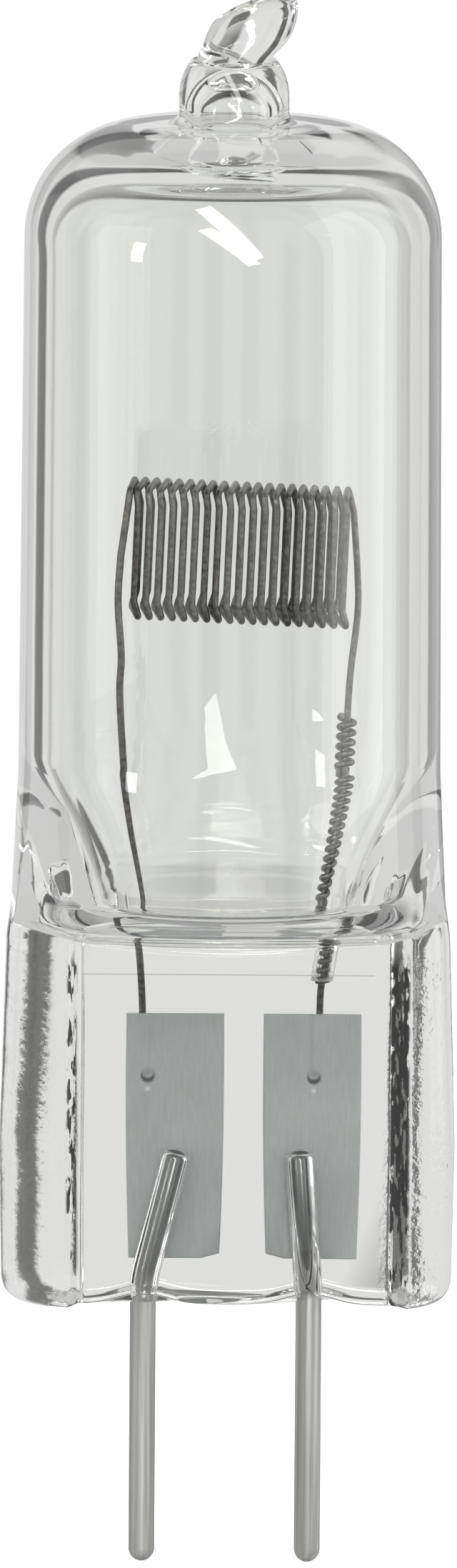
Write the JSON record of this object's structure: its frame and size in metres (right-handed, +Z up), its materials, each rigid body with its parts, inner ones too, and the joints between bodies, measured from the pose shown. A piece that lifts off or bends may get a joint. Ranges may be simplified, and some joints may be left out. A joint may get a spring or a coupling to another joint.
{
  "type": "halogen capsule bulb",
  "caption": "Clear quartz capsule lamp: round tube pinched flat over two foils, flat-wound filament inside, and round contact pins in line below.",
  "frame": {"origin": "midway between the two contact pins, where they leave the foot of the pinch", "axes": "+X from the left pin to the right pin, +Z up along the tube towards the exhaust tip, seen from the front along +Y"},
  "size_m": [0.0174, 0.0164, 0.0606],
  "materials": {
    "quartz": "clear fused quartz, fire polished",
    "tungsten": "drawn tungsten wire, satin",
    "foil": "rolled molybdenum foil, matt",
    "pin": "drawn molybdenum rod, satin"
  },
  "bodies": {
    "root": {"glass_envelope": "quartz", "filament": "tungsten", "support_coil": "tungsten", "foil_left": "foil", "foil_right": "foil", "pin_left": "pin", "pin_right": "pin"}
  },
  "joints": []
}
